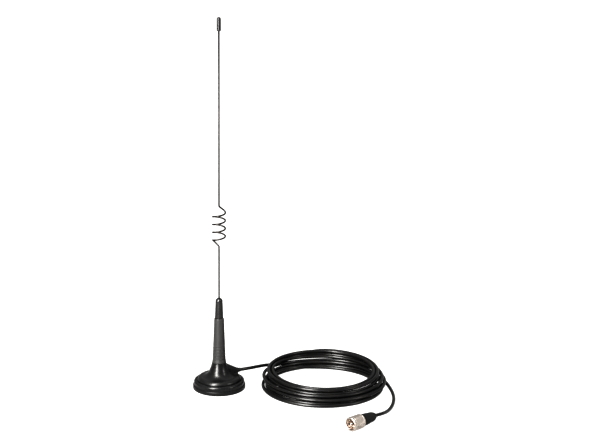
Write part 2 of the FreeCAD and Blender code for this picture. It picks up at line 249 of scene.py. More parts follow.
def metal_finish(name, dark, light, rough, spread, stretch=(1, 1, 1)):
    """Metal: thin tarnish in patches between two shades, and tool marks that follow the stretch."""
    finish = finish_of(name, Metallic=1.0)
    tarnish = finish.between(finish.noise(120.0, 5.0, 0.65), 0.35, 0.72)
    marks = finish.noise(1500.0, 2.0, 0.6, finish.stretched(stretch))
    finish.set("Base Color", finish.blend(tarnish, (*light, 1), (*dark, 1)))
    finish.set("Roughness", rough + spread * (0.8 * tarnish + 0.5 * marks))
    finish.set("Normal", finish.bump(marks, 0.000004))
    return finish.block


def coat(material, *nodes):
    """Puts a finish into every material slot of nodes that keep their CAD shape."""
    for node in nodes:
        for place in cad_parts[node].material_slots:
            place.material = material


contact_film = moulded_finish("contact_film", (0.012, 0.012, 0.013), (0.03, 0.03, 0.031), 0.42, 0.2,
                              patch=25.0)
fired_ferrite = moulded_finish("fired_ferrite", (0.018, 0.018, 0.02), (0.05, 0.048, 0.05), 0.5, 0.25,
                               grain=900.0, depth=0.00003)
coat(contact_film, "base_pad")
coat(fired_ferrite, "ring_magnet")
zinc = metal_finish("zinc_plate", (0.42, 0.42, 0.41), (0.62, 0.62, 0.61), 0.24, 0.2)
coat(zinc, "pole_disc", "centre_bolt", "cover_screws")


# ------------------------------------------------------------------ magnet cup
# Pressed steel pot that holds the magnet, sprayed with gloss black enamel. Its rolled shoulder catches the
# light, and the seat inside the shoulder takes the bell.
ARC_STEPS = 10
SHARP_CORNER = math.radians(20.0)
CORNER_STEPS = 5


def arc(start, middle, end):
    """Points at even angles on the circle through three points, from just after start to end."""
    a, b, c = (complex(*point) for point in (start, middle, end))
    ratio = (c - a) / (b - a)
    centre = a + (b - a) * (ratio - abs(ratio) ** 2) / (2j * ratio.imag)
    angles = np.unwrap(np.angle(np.array([a, b, c]) - centre))
    points = centre + abs(a - centre) * np.exp(1j * np.linspace(angles[0], angles[2], ARC_STEPS + 1)[1:])
    return np.stack([points.real, points.imag], 1)


def drawn(outline):
    """Rows of (radius, height) along an outline. An item of two points is an arc: its middle and its end."""
    here = outline[0]
    rows = [np.array([here], float)]
    for item in outline[1:]:
        if isinstance(item[0], tuple):
            rows.append(arc(here, *item))
            here = item[1]
        else:
            rows.append(np.array([item], float))
            here = item
    return np.concatenate(rows)


def softened(rows, radius, closed=True):
    """Rounds each sharp corner of an outline, as a moulded or turned edge is.

    The curve is (1-t)^2 a + 2t(1-t) corner + t^2 b, from a, radius before the corner, to b, radius after
    it, and one more row on either side keeps the flats flat.
    """
    back = np.roll(rows, 1, 0) - rows
    on = np.roll(rows, -1, 0) - rows
    back_length = np.linalg.norm(back, axis=1, keepdims=True)
    on_length = np.linalg.norm(on, axis=1, keepdims=True)
    reach = np.minimum(radius, 0.3 * np.minimum(back_length, on_length))
    back = back / back_length * reach
    on = on / on_length * reach
    t = np.linspace(0, 1, CORNER_STEPS)[None, :, None]
    curve = rows[:, None] + (1 - t) ** 2 * back[:, None] + t ** 2 * on[:, None]
    points = np.concatenate([(rows + 1.5 * back)[:, None], curve, (rows + 1.5 * on)[:, None]], 1)
    straight = np.sum(-back * on, 1) > math.cos(SHARP_CORNER) * reach[:, 0] ** 2
    if not closed:
        straight[[0, -1]] = True
    corner = (CORNER_STEPS + 1) // 2
    points[straight, corner] = rows[straight]
    keep = np.repeat(~straight[:, None], CORNER_STEPS + 2, 1)
    keep[:, corner] = True
    return points[keep]


def grid_piece(name, points, material, closed_rows, relief=None):
    """Quads between neighbouring rows and columns of a grid. Columns close on themselves, and rows may."""
    rows, columns = points.shape[:2]
    number = np.arange(rows * columns).reshape(rows, columns)
    here = number if closed_rows else number[:-1]
    above = np.roll(number, -1, 0) if closed_rows else number[1:]
    faces = np.stack([here, np.roll(here, -1, 1), np.roll(above, -1, 1), above], -1).reshape(-1, 4)
    return mesh_piece(name, points.reshape(-1, 3), faces, material, relief=relief)


def revolved(rows, around):
    """Grid of a surface of revolution about Z: (r cos a, r sin a, z) for each row (r, z) and azimuth a."""
    angle = np.linspace(0, 2 * math.pi, around, endpoint=False)
    return np.stack([rows[:, :1] * np.cos(angle), rows[:, :1] * np.sin(angle), rows[:, 1:] + 0 * angle], -1)


def turned(name, outline, material, around=144, edge=0.3, closed=True):
    """Piece turned about Z from an outline, with its corners rounded over the length edge."""
    rows = softened(drawn(outline), edge, closed)
    return grid_piece(name, revolved(rows, around), material, closed)


CUP_R = 36.7
CUP_FOOT_Z = 0.8
CUP_SEAT_Z = 12.2
CUP_ROOF_Z = 10.2
CUP_INNER_R = 34.7

cup_enamel = moulded_finish("gloss_enamel", (0.004, 0.004, 0.0045), (0.009, 0.009, 0.0095), 0.2, 0.1,
                            patch=60.0, grain=700.0, depth=0.00001, Specular_IOR_Level=0.45)
cup = turned("magnet_pot", [(0, CUP_ROOF_Z), (CUP_INNER_R - 0.6, CUP_ROOF_Z),
                            ((CUP_INNER_R - 0.18, CUP_ROOF_Z - 0.18), (CUP_INNER_R, CUP_ROOF_Z - 0.6)),
                            (CUP_INNER_R, CUP_FOOT_Z), (CUP_R, CUP_FOOT_Z), (CUP_R, 9.8),
                            ((CUP_R - 1.0, 12.1), (33.6, 13.0)), ((32.9, 12.8), (32.4, CUP_SEAT_Z)),
                            (0, CUP_SEAT_Z)], cup_enamel, around=180, closed=False)
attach(cup, "base")
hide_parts("magnet_cup")


# ------------------------------------------------------------------ rubber skirt
# Ring of black rubber stretched round the foot of the cup. It keeps the steel off the paint of a roof, and
# its outer face is scuffed a little paler near the floor.
SKIRT_R = 38.1
SKIRT_H = 5.8


def skirt_finish():
    """Semi-gloss black rubber with pale scuffs that thin out above the floor."""
    finish = finish_of("skirt_rubber", Specular_IOR_Level=0.35)
    height = finish.node("ShaderNodeSeparateXYZ", values={0: finish.stretched((1, 1, 1))}, output="Z")
    low = 1.0 - finish.between(height, 0.0002, 0.004)
    scuffs = finish.between(finish.noise(380.0, 5.0, 0.7), 0.5, 0.75) * low
    fine = finish.noise(2600.0, 3.0, 0.6)
    finish.set("Base Color", finish.blend(scuffs, (0.006, 0.006, 0.0062, 1), (0.03, 0.029, 0.028, 1)))
    finish.set("Roughness", 0.3 + 0.25 * scuffs + 0.12 * fine)
    finish.set("Normal", finish.bump(fine, 0.00001))
    return finish.block


skirt_outline = [(CUP_R + 0.02, 0), (SKIRT_R - 0.8, 0), ((SKIRT_R - 0.23, 0.23), (SKIRT_R, 0.8)),
                 (SKIRT_R, SKIRT_H - 1.0), ((SKIRT_R - 0.3, SKIRT_H - 0.3), (SKIRT_R - 0.9, SKIRT_H)),
                 (CUP_R + 0.02, SKIRT_H)]
skirt = turned("foot_skirt", skirt_outline, skirt_finish(), around=180, edge=0.15)
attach(skirt, "base")
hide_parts("rubber_skirt")


# ------------------------------------------------------------------ ends of the lead inside the base
# The braid goes to a tinned tag under the bush and the core to the brass terminal at the foot of the mast
# coil, which stands on a moulded bush. They keep their CAD shape.
natural_acetal = moulded_finish("natural_acetal", (0.62, 0.6, 0.55), (0.72, 0.71, 0.66), 0.35, 0.15)
turned_brass = metal_finish("turned_brass", (0.5, 0.36, 0.14), (0.8, 0.62, 0.3), 0.2, 0.2, stretch=(1, 1, 9))
coat(natural_acetal, "insulator_bush", "coil_former")
coat(turned_brass, "bottom_terminal")
tinned_copper = metal_finish("tinned_copper", (0.42, 0.42, 0.4), (0.7, 0.7, 0.68), 0.3, 0.2)
coat(tinned_copper, "ground_lug", "braid_pigtail")
coat(moulded_finish("milky_polyethylene", (0.7, 0.69, 0.64), (0.82, 0.81, 0.77), 0.4, 0.15), "core_wire")


# ------------------------------------------------------------------ bell
# Polished black moulding that covers the cup and sweeps up into a neck for the mast. A half-round ridge runs
# down one side over the cable and ends in an upright face with the outlet. Three screws hold it from below.
OUTLET_AZ = 22.0
OUTLET_END = 28.2
NECK_TOP_Z = 38.4
NECK_R = 10.3
BELL_FOOT_Z = 12.4
BELL_FOOT_R = 31.4
RIDGE_START = 8.0        # distance from the mast's axis at which the ridge has its first width and height
RIDGE_HALF_WIDTHS = (8.0, 4.3)
RIDGE_TOPS = (37.0, 25.9)
WALL_SHARE = 0.985       # share of the half width at which the crown turns into a wall
WALL_SLOPE = 7.0
RIDGE_FILLET = 1.1


def ridge_height(u, v):
    """Height of the ridge, u out from the mast and v across it.

    Its section is a half circle of radius w on upright walls: top - w + sqrt(w^2 - v^2). Top and w fall in a
    straight line along u, and the walls and the end face drop at a few degrees of draft.
    """
    share = (u - RIDGE_START) / (OUTLET_END - RIDGE_START)
    w = RIDGE_HALF_WIDTHS[0] + (RIDGE_HALF_WIDTHS[1] - RIDGE_HALF_WIDTHS[0]) * share
    top = RIDGE_TOPS[0] + (RIDGE_TOPS[1] - RIDGE_TOPS[0]) * share
    crown = np.sqrt(np.maximum(w ** 2 - np.minimum(np.abs(v), WALL_SHARE * w) ** 2, 0))
    walls = WALL_SLOPE * (np.maximum(np.abs(v) - WALL_SHARE * w, 0) + np.maximum(u - OUTLET_END + 0.6, 0))
    return np.where(u > 4, top - w + crown - walls, 0)


def bell_grid(rows, azimuth):
    """Grid of the bell: the flank raised to the ridge by a smooth maximum, then the hollow inside.

    The smooth maximum of heights a and b is (a + b + sqrt((a - b)^2 + fillet^2)) / 2. It fades out towards
    the neck and the foot, so that both stay round.
    """
    outer, inner = rows
    u = outer[:, :1] * np.cos(azimuth)
    v = outer[:, :1] * np.sin(azimuth)
    flank = outer[:, 1:] + 0 * azimuth
    rise = ridge_height(u, v)
    height = (flank + rise + np.sqrt((flank - rise) ** 2 + RIDGE_FILLET ** 2)) / 2
    blend = np.clip((outer[:, :1] - NECK_R - 0.1) / 1.2, 0, 1) * np.clip(BELL_FOOT_R - outer[:, :1], 0, 1)
    height = flank + (height - flank) * blend
    turn = azimuth + math.radians(OUTLET_AZ)
    out = np.stack([outer[:, :1] * np.cos(turn), outer[:, :1] * np.sin(turn), height], -1)
    under = np.stack([inner[:, :1] * np.cos(turn), inner[:, :1] * np.sin(turn), inner[:, 1:] + 0 * turn], -1)
    return np.concatenate([out, under])


def divided(rows, step):
    """Adds rows along an outline so that no run is longer than step."""
    along = np.concatenate([[0], np.cumsum(np.linalg.norm(np.diff(rows, axis=0), axis=1))])
    at = np.union1d(along, np.arange(0, along[-1], step))
    return np.stack([np.interp(at, along, rows[:, 0]), np.interp(at, along, rows[:, 1])], 1)


def bell_finish():
    """Polished black plastic: faint flow swirls from the mould, hairline polishing marks, a little dust."""
    finish = finish_of("polished_bell", Specular_IOR_Level=0.45, Coat_Roughness=0.16)
    swirl = finish.between(finish.noise(35.0, 5.0, 0.6), 0.35, 0.75)
    dust = finish.between(finish.noise(1400.0, 4.0, 0.8), 0.62, 0.72)
    hairs = finish.noise(900.0, 2.0, 0.6, finish.stretched((1, 1, 14)))
    finish.set("Base Color", finish.blend(swirl * 0.6 + dust * 0.4, (0.003, 0.003, 0.0032, 1),
                                          (0.011, 0.011, 0.0112, 1)))
    finish.set("Roughness", 0.26 + 0.07 * swirl + 0.15 * dust + 0.05 * hairs)
    finish.set("Coat Weight", 0.2 - 0.15 * dust)
    finish.set("Normal", finish.bump(hairs, 0.000003))
    return finish.block


flank_outline = drawn([(30.9, BELL_FOOT_Z), (BELL_FOOT_R, BELL_FOOT_Z),
                       (BELL_FOOT_R + 0.1, BELL_FOOT_Z + 0.2), ((30.3, 16.0), (26.0, 17.9)),
                       ((18.1, 20.7), (14.1, 27.0)),
                       ((12.1, 32.0), (NECK_R + 0.2, NECK_TOP_Z - 0.2)), (NECK_R, NECK_TOP_Z)])
hollow_outline = drawn([(8.0, NECK_TOP_Z), (8.0, 31.5), (12.0, 25.4), ((17.0, 18.2), (25.4, 15.8)),
                        ((28.0, 15.2), (29.4, 13.4)), (29.4, BELL_FOOT_Z)])
RIDGE_SECTOR = 46.0      # half the sector that holds the ridge and needs close columns
fine_azimuth = np.radians(np.arange(-RIDGE_SECTOR, RIDGE_SECTOR, 0.7))
coarse_azimuth = np.radians(np.linspace(RIDGE_SECTOR, 360 - RIDGE_SECTOR, 96, endpoint=False))
bell_points = bell_grid((divided(flank_outline, 0.3), hollow_outline),
                        np.concatenate([fine_azimuth, coarse_azimuth]))
bell = grid_piece("bell_moulding", bell_points, bell_finish(), True)
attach(bell, "base")
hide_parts("base_cover")


# ------------------------------------------------------------------ grommet
# Soft rubber strain relief pushed into the outlet from outside. A thin flange seals it against the end face,
# and its nose tapers down on to the jacket.
def laid(grid, start, azimuth):
    """Lays a grid that was turned about Z along the level direction azimuth, with its foot at start."""
    turn = math.radians(azimuth)
    way = np.array([math.cos(turn), math.sin(turn), 0])
    side = np.array([-math.sin(turn), math.cos(turn), 0])
    up = np.array([0, 0, 1.0])
    return start + grid[..., 2:] * way + grid[..., :1] * side + grid[..., 1:2] * up


soft_rubber = moulded_finish("soft_rubber", (0.006, 0.006, 0.0062), (0.014, 0.014, 0.014), 0.48, 0.2,
                             patch=90.0, grain=2400.0, depth=0.00001, Specular_IOR_Level=0.35)
OUTLET_Z = 21.9
GROMMET_INSIDE = 8.0     # how far the grommet reaches in behind the end face
JACKET_FIT_R = 2.505
outlet_way = np.array([math.cos(math.radians(OUTLET_AZ)), math.sin(math.radians(OUTLET_AZ)), 0])
grommet_foot = (OUTLET_END - GROMMET_INSIDE) * outlet_way + (0, 0, OUTLET_Z)
grommet_rows = softened(drawn([(JACKET_FIT_R, 0), (3.25, 0), (3.25, 7.6), (4.1, 7.6), (4.1, 8.7), (3.55, 9.3),
                               (3.5, 10.1), (3.1, 10.5), (3.05, 11.3), (3.2, 11.7), (3.15, 12.4), (2.8, 12.8),
                               (2.75, 14.0), (JACKET_FIT_R, 14.0)]), 0.2)
grommet = grid_piece("outlet_grommet", laid(revolved(grommet_rows, 72), grommet_foot, OUTLET_AZ),
                     soft_rubber, True)
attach(grommet, "base")
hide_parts("cable_grommet")


# ------------------------------------------------------------------ mast
# Tapered sleeve with a satin soft-touch coating over the loading coil. It plugs into the bell's neck and has
# five ring grooves near its foot. The coil inside is enamelled copper on a former, and a brass stud tops it.
SLEEVE_TOP_Z = 105.2
SLEEVE_TOP_R = 7.0
SLEEVE_FOOT_R = 10.2
SLEEVE_KNEE = (9.45, 44.0)
SLEEVE_PLUG_Z = 33.0     # how deep the sleeve stands in the bell's neck
SLEEVE_BORE_R = 5.3
STUD_SEAT_R = 4.45
STUD_SEAT_Z = 101.0
GROOVE_Z = [43.8, 48.5, 53.3, 58.0, 62.5]
GROOVE_HALF = 0.75
GROOVE_DEPTH = 0.6


def sleeve_radius(z):
    """Radius of the sleeve: a straight taper down to its knee, then a quicker flare to the foot."""
    knee_r, knee_z = SLEEVE_KNEE
    if z >= knee_z:
        return SLEEVE_TOP_R + (knee_r - SLEEVE_TOP_R) * (SLEEVE_TOP_Z - z) / (SLEEVE_TOP_Z - knee_z)
    return knee_r + (SLEEVE_FOOT_R - knee_r) * (knee_z - z) / (knee_z - NECK_TOP_Z)


def sleeve_finish():
    """Satin soft-touch coating: even, slightly grey, with a fine tooth and faint rub marks down it."""
    finish = finish_of("satin_sleeve", Specular_IOR_Level=0.45)
    rubs = finish.between(finish.noise(220.0, 4.0, 0.6, finish.stretched((1, 1, 0.25))), 0.45, 0.8)
    tooth = finish.noise(3200.0, 2.0, 0.6)
    finish.set("Base Color", finish.blend(rubs, (0.03, 0.03, 0.0298, 1), (0.042, 0.042, 0.0412, 1)))
    finish.set("Roughness", 0.42 - 0.06 * rubs + 0.08 * tooth)
    finish.set("Normal", finish.bump(tooth, 0.000008))
    return finish.block


sleeve_outline = [(SLEEVE_BORE_R, SLEEVE_PLUG_Z), (7.95, SLEEVE_PLUG_Z), (7.95, NECK_TOP_Z + 0.1),
                  (SLEEVE_FOOT_R - 0.5, NECK_TOP_Z + 0.1), (SLEEVE_FOOT_R, NECK_TOP_Z + 0.7)]
for z in GROOVE_Z:
    groove_start = (sleeve_radius(z - GROOVE_HALF), z - GROOVE_HALF)
    groove_end = (sleeve_radius(z + GROOVE_HALF), z + GROOVE_HALF)
    sleeve_outline += [groove_start, ((sleeve_radius(z) - GROOVE_DEPTH, z), groove_end)]
sleeve_outline += [(SLEEVE_TOP_R + 0.1, SLEEVE_TOP_Z - 0.8), (SLEEVE_TOP_R - 0.4, SLEEVE_TOP_Z),
                   (STUD_SEAT_R, SLEEVE_TOP_Z), (STUD_SEAT_R, STUD_SEAT_Z), (SLEEVE_BORE_R, STUD_SEAT_Z)]
sleeve = turned("mast_sleeve", sleeve_outline, sleeve_finish(), around=128, edge=0.25)
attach(sleeve, "base")
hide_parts("coil_sleeve")

coat(metal_finish("enamelled_copper", (0.3, 0.1, 0.03), (0.72, 0.34, 0.16), 0.18, 0.15), "loading_coil")


def threaded(rows, start, end, pitch, depth):
    """Grid turned about Z whose radius is cut by a helical thread between start and end.

    The cut is depth times |2 f - 1|, where f is the fractional part of height / pitch less the turn.
    """
    columns = 96
    grid = revolved(rows, columns)
    turn = np.linspace(0, 1, columns, endpoint=False)
    height = grid[..., 2]
    wave = np.abs(2 * np.mod(height / pitch - turn, 1) - 1)
    radius = rows[:, :1]
    there = np.clip((height - start) / 0.3, 0, 1) * np.clip((end - height) / 0.3, 0, 1)
    there = there * (np.abs(radius - radius[(rows[:, 1] > start) & (rows[:, 1] < end)].max()) < 0.05)
    grid[..., :2] *= (1 - there * wave * depth / np.maximum(radius, 0.1))[..., None]
    return grid


STUD_R = 2.5
STUD_TOP_Z = 114.0
STUD_PITCH = 0.8
STUD_THREAD_DEPTH = 0.28
stud_outline = [(0, 90.2), (1.9, 90.2), (1.9, 98.0), (5.2, 98.0), (5.2, 100.9), (4.35, 100.9),
                (4.35, SLEEVE_TOP_Z), (STUD_R, SLEEVE_TOP_Z), (STUD_R, STUD_TOP_Z - 0.6),
                (STUD_R - 0.6, STUD_TOP_Z), (0, STUD_TOP_Z)]
stud_rows = divided(softened(drawn(stud_outline), 0.12, closed=False), 0.12)
stud_grid = threaded(stud_rows, SLEEVE_TOP_Z + 0.6, STUD_TOP_Z - 0.7, STUD_PITCH, STUD_THREAD_DEPTH)
stud = grid_piece("mast_stud", stud_grid, turned_brass, False)
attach(stud, "base")
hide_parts("top_terminal")


# ------------------------------------------------------------------ ferrule
# Turned brass ferrule with polished black plating, screwed on to the stud over a rubber washer. The whip
# stands in its bore, and a headless screw in a cross hole at the rear grips it.
FERRULE_FOOT_Z = 105.5
FERRULE_TOP_Z = 135.2
SCREW_Z = 122.0
SCREW_HOLE_R = 1.55
SCREW_FACE_R = 4.9       # distance of the screw's outer end from the axis
WHIP_BORE_R = 1.25
STUD_BORE_R = 2.55


def ferrule_finish():
    """Black plating over fine turning rings, worn a trace browner in patches."""
    finish = finish_of("black_plating", Metallic=0.9)
    rings = finish.noise(900.0, 2.0, 0.6, finish.stretched((0.05, 0.05, 6)))
    worn = finish.between(finish.noise(300.0, 4.0, 0.6), 0.5, 0.8)
    finish.set("Base Color", finish.blend(worn, (0.06, 0.06, 0.061, 1), (0.085, 0.082, 0.078, 1)))
    finish.set("Roughness", 0.24 + 0.04 * worn + 0.02 * rings)
    finish.set("Normal", finish.bump(rings, 0.0000002))
    return finish.block


def ferrule_grid():
    """Ferrule turned about Z and pressed in to the screw's depth over the screw's hole.

    The hole is where sqrt(x^2 + (z - screw height)^2) is less than its radius, on the +Y side.
    """
    outline = [(4.4, FERRULE_FOOT_Z), (5.9, FERRULE_FOOT_Z), (6.1, FERRULE_FOOT_Z + 0.5), (5.15, 130.0),
               ((4.3, 133.4), (2.2, FERRULE_TOP_Z)), (WHIP_BORE_R, FERRULE_TOP_Z), (WHIP_BORE_R, 117.2),
               (0.01, 117.2), (0.01, 115.0), (STUD_BORE_R, 115.0), (STUD_BORE_R, 106.2), (4.4, 106.2)]
    rows = divided(softened(drawn(outline), 0.25), 0.22)
    grid = revolved(rows, 240)
    near = np.hypot(grid[..., 0], grid[..., 2] - SCREW_Z)
    pressed = 1 - np.clip((near - SCREW_HOLE_R + 0.1) / 0.1, 0, 1)
    pressed = pressed * (grid[..., 1] > SCREW_FACE_R - 0.4)
    radius = np.hypot(grid[..., 0], grid[..., 1])
    grid[..., :2] *= (1 - pressed * (1 - SCREW_FACE_R / np.maximum(radius, SCREW_FACE_R)))[..., None]
    return grid


ferrule = grid_piece("whip_holder", ferrule_grid(), ferrule_finish(), True)
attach(ferrule, "ferrule")
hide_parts("whip_ferrule")
coat(soft_rubber, "ferrule_seal")
coat(metal_finish("blued_steel", (0.06, 0.06, 0.07), (0.16, 0.16, 0.17), 0.28, 0.2), "set_screw")


# ------------------------------------------------------------------ whip
# One piece of round spring steel, blackened in hot oxide. Half way up it is wound into an open right-handed
# coil of three and a half turns, with a short forming bend at each end.
WHIP_R = 1.2
WHIP_FOOT_Z = 120.4
WHIP_END_Z = 530.0
COIL_R = 8.9
COIL_PITCH = 11.3
COIL_TURNS = 3.5
COIL_START_Z = 220.8
BEND_R = 3.2
LEAD_IN = 6.0            # straight wire between a forming bend and the coil
BEND_BELOW = 9.0         # where the wire leaves the axis, below the coil and above it
BEND_ABOVE = 9.2


def bent(points, radius):
    """Path of straight runs joined by arcs of one radius, each arc through 10 points at even angles.

    An arc is centre + radius (forward sin a - inward cos a), with a from minus to plus half of the bend.
    """
    path = [np.array([points[0]])]
    for before, corner, after in zip(points, points[1:], points[2:]):
        run_in = (corner - before).normalized()
        run_out = (after - corner).normalized()
        half = run_in.angle(run_out) / 2
        inward = (run_out - run_in).normalized()
        forward = (run_in + run_out).normalized()
        centre = corner + inward * (radius / math.cos(half))
        angle = np.linspace(-half, half, 10)[:, None]
        swing = np.array(forward) * np.sin(angle) - np.array(inward) * np.cos(angle)
        path.append(np.array(centre) + radius * swing)
    path.append(np.array([points[-1]]))
    return np.concatenate(path)


def whip_path():
    """Centre line: the axis, the coil (-r cos a, -r sin a, start + pitch a / 2 pi), and the axis again."""
    climb = COIL_PITCH / (2 * math.pi)
    height = COIL_PITCH * COIL_TURNS
    low = Vector((-COIL_R, 0, COIL_START_Z))
    high = Vector((COIL_R, 0, COIL_START_Z + height))
    start_way = Vector((0, -COIL_R, climb)).normalized()
    end_way = Vector((0, COIL_R, climb)).normalized()
    below = bent([Vector((0, 0, WHIP_FOOT_Z)), Vector((0, 0, COIL_START_Z - BEND_BELOW)),
                  low - start_way * LEAD_IN, low], BEND_R)
    above = bent([high, high + end_way * LEAD_IN, Vector((0, 0, high.z + BEND_ABOVE)),
                  Vector((0, 0, WHIP_END_Z))], BEND_R)
    angle = np.linspace(0, 2 * math.pi * COIL_TURNS, 190)[1:-1]
    coil = np.stack([-COIL_R * np.cos(angle), -COIL_R * np.sin(angle), COIL_START_Z + climb * angle], 1)
    return np.concatenate([below, coil, above])


def tube_grid(path, radius, around):
    """Grid round a rising path: each ring is turned so that Z goes to the path's direction (a, b, c).

    Its two axes are (1 - a a / (1 + c), -a b / (1 + c), -a) and (-a b / (1 + c), 1 - b b / (1 + c), -b).
    A ring of no radius closes each end.
    """
    way = np.gradient(path, axis=0)
    way /= np.linalg.norm(way, axis=1, keepdims=True)
    a, b, c = way.T
    first = np.stack([1 - a * a / (1 + c), -a * b / (1 + c), -a], 1)[:, None]
    second = np.stack([-a * b / (1 + c), 1 - b * b / (1 + c), -b], 1)[:, None]
    angle = np.linspace(0, 2 * math.pi, around, endpoint=False)[None, :, None]
    ring = radius * (np.cos(angle) * first + np.sin(angle) * second)
    grid = path[:, None] + ring
    return np.concatenate([path[:1, None] + 0 * ring[:1], grid, path[-1:, None] + 0 * ring[:1]])


def whip_finish():
    """Black oxide on drawn steel: fine streaks along the wire and thin brown-grey wear."""
    finish = finish_of("black_oxide_steel", Metallic=0.9)
    streaks = finish.noise(2600.0, 3.0, 0.6, finish.stretched((1, 1, 0.03)))
    worn = finish.between(finish.noise(160.0, 5.0, 0.7), 0.45, 0.75)
    finish.set("Base Color", finish.blend(worn, (0.03, 0.028, 0.027, 1), (0.075, 0.07, 0.065, 1)))
    finish.set("Roughness", 0.3 + 0.12 * streaks - 0.06 * worn)
    finish.set("Normal", finish.bump(streaks, 0.000005))
    return finish.block


whip = grid_piece("spring_whip", tube_grid(whip_path(), WHIP_R, 32), whip_finish(), False)
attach(whip, "whip")
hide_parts("whip_rod")


# ------------------------------------------------------------------ tip cap
# Black plastic cap with a half-round top, moulded in one piece. It is pressed over the cut end of the wire,
# so that the whip can't scratch or hurt.
CAP_R = 2.9
CAP_BORE_R = 1.22
CAP_ROOF = 2.4           # thickness of the cap above the wire's end
CAP_FOOT_Z = 513.7
CAP_TOP_Z = 532.5

cap_plastic = moulded_finish("cap_plastic", (0.008, 0.008, 0.0085), (0.018, 0.018, 0.019), 0.22, 0.12,
                             patch=200.0)
half_way = CAP_R * math.sqrt(0.5)
cap_outline = [(CAP_BORE_R, CAP_FOOT_Z), (CAP_R - 0.5, CAP_FOOT_Z),
               ((CAP_R - 0.15, CAP_FOOT_Z + 0.15), (CAP_R, CAP_FOOT_Z + 0.5)), (CAP_R, CAP_TOP_Z - CAP_R),
               ((half_way, CAP_TOP_Z - CAP_R + half_way), (0, CAP_TOP_Z)), (0, CAP_TOP_Z - CAP_ROOF),
               (CAP_BORE_R, CAP_TOP_Z - CAP_ROOF)]
cap = turned("whip_cap", cap_outline, cap_plastic, around=72, edge=0.15)
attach(cap, "whip")
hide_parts("tip_cap")


# ------------------------------------------------------------------ plug
# UHF plug in bright nickel: a notched contact sleeve with a brown phenolic bead and a hollow silvered pin,
# crimped on to the braid, under a black rubber boot. The knurled coupling ring turns on the body.
PLUG_AZ = 38.0
PLUG_MOUTH = np.array([172.2, -169.4, 9.8])
RING_R = 9.8
RING_LENGTH = 20.5
TEETH = 36
KNURL_DEPTH = 0.42
MOUTH_THREAD_R = 7.6
MOUTH_THREAD_DEPTH = 0.25
MOUTH_THREAD_END = 15.6
THREAD_PITCH = 1.058
KNURL_START = 3.7
KNURL_END = 18.7
BODY_BORE_R = 6.45


def nickel_finish(name, grooves):
    """Bright nickel, warm and slightly clouded. With grooves, its colour goes darker and its finish duller low
    in the knurl.

    The piece's relief attribute says how low: it is 0 in a groove and 1 on a crest.
    """
    finish = finish_of(name, Metallic=1.0)
    cloud = finish.between(finish.noise(160.0, 5.0, 0.6), 0.35, 0.75)
    fine = finish.noise(2400.0, 2.0, 0.6)
    colour = finish.blend(cloud, (0.8, 0.72, 0.66, 1), (0.66, 0.59, 0.53, 1))
    rough = 0.22 + 0.14 * cloud + 0.08 * fine
    if grooves:
        relief = finish.node("ShaderNodeAttribute", {"attribute_name": "relief"}, output="Fac")
        low = 1.0 - finish.between(relief, 0.0, 0.45)
        colour = finish.blend(low * 0.8, colour, (0.2, 0.185, 0.16, 1))
        rough = rough + 0.25 * low
    finish.set("Base Color", colour)
    finish.set("Roughness", rough)
    finish.set("Normal", finish.bump(fine, 0.000004))
    return finish.block


def ring_grid():
    """Coupling ring: its outline turned, with a diamond knurl outside and the mouth's thread inside.

    The knurl is the smaller of two triangle waves, tooth count times the turn plus and minus the length, and
    the thread is one triangle wave of length / pitch less the turn. Gives the grid and the relief.
    """
    columns = 8 * TEETH
    outline = [(7.9, 0), (RING_R - 0.7, 0), (RING_R, 0.7), (RING_R, 3.1), (RING_R - 0.2, 3.3),
               (RING_R - 0.2, 3.6), (RING_R, 3.8), (RING_R, 18.6), (RING_R - 0.2, 18.8), (RING_R - 0.2, 19.3),
               (RING_R - 1.1, RING_LENGTH), (BODY_BORE_R, RING_LENGTH), (BODY_BORE_R, MOUTH_THREAD_END),
               (MOUTH_THREAD_R, MOUTH_THREAD_END), (MOUTH_THREAD_R, 0.4)]
    rows = divided(softened(drawn(outline), 0.15), 0.2)
    grid = revolved(rows, columns)
    turn = np.linspace(0, 1, columns, endpoint=False)[None]
    length = rows[:, 1:]
    tooth = 2 * math.pi * RING_R / TEETH

    def wave(phase):
        return 1 - np.abs(2 * np.mod(phase, 1) - 1)

    knurl = np.minimum(wave(TEETH * turn + length / tooth / 2), wave(TEETH * turn - length / tooth / 2))
    knurl = np.clip(1.35 * knurl, 0, 1)
    outside = (rows[:, :1] > RING_R - 0.05) * np.clip((length - KNURL_START) / 0.3, 0, 1)
    outside = outside * np.clip((KNURL_END - length) / 0.3, 0, 1)
    inside = np.abs(rows[:, :1] - MOUTH_THREAD_R) < 0.05
    inside = inside * np.clip(length - 2.0, 0, 1) * np.clip((MOUTH_THREAD_END - 0.1 - length) / 0.4, 0, 1)
    thread = wave(length / THREAD_PITCH - turn)
    moved = -KNURL_DEPTH * (1 - knurl) * outside + MOUTH_THREAD_DEPTH * thread * inside
    grid[..., :2] *= (1 + moved / rows[:, :1])[..., None]
    return grid, 1 - (1 - knurl) * outside


ring_points, ring_relief = ring_grid()
ring = grid_piece("coupling_nut", laid(ring_points, PLUG_MOUTH, PLUG_AZ),
                  nickel_finish("knurled_nickel", True), True, relief=ring_relief)
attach(ring, "coupling_ring")
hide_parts("plug_ring")


def on_plug(name, outline, material, around=96, edge=0.15):
    """Piece turned about the plug's axis from an outline of (radius, distance behind the mouth)."""
    rows = softened(drawn(outline), edge)
    made = grid_piece(name, laid(revolved(rows, around), PLUG_MOUTH, PLUG_AZ), material, True)
    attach(made, "base")
    return made


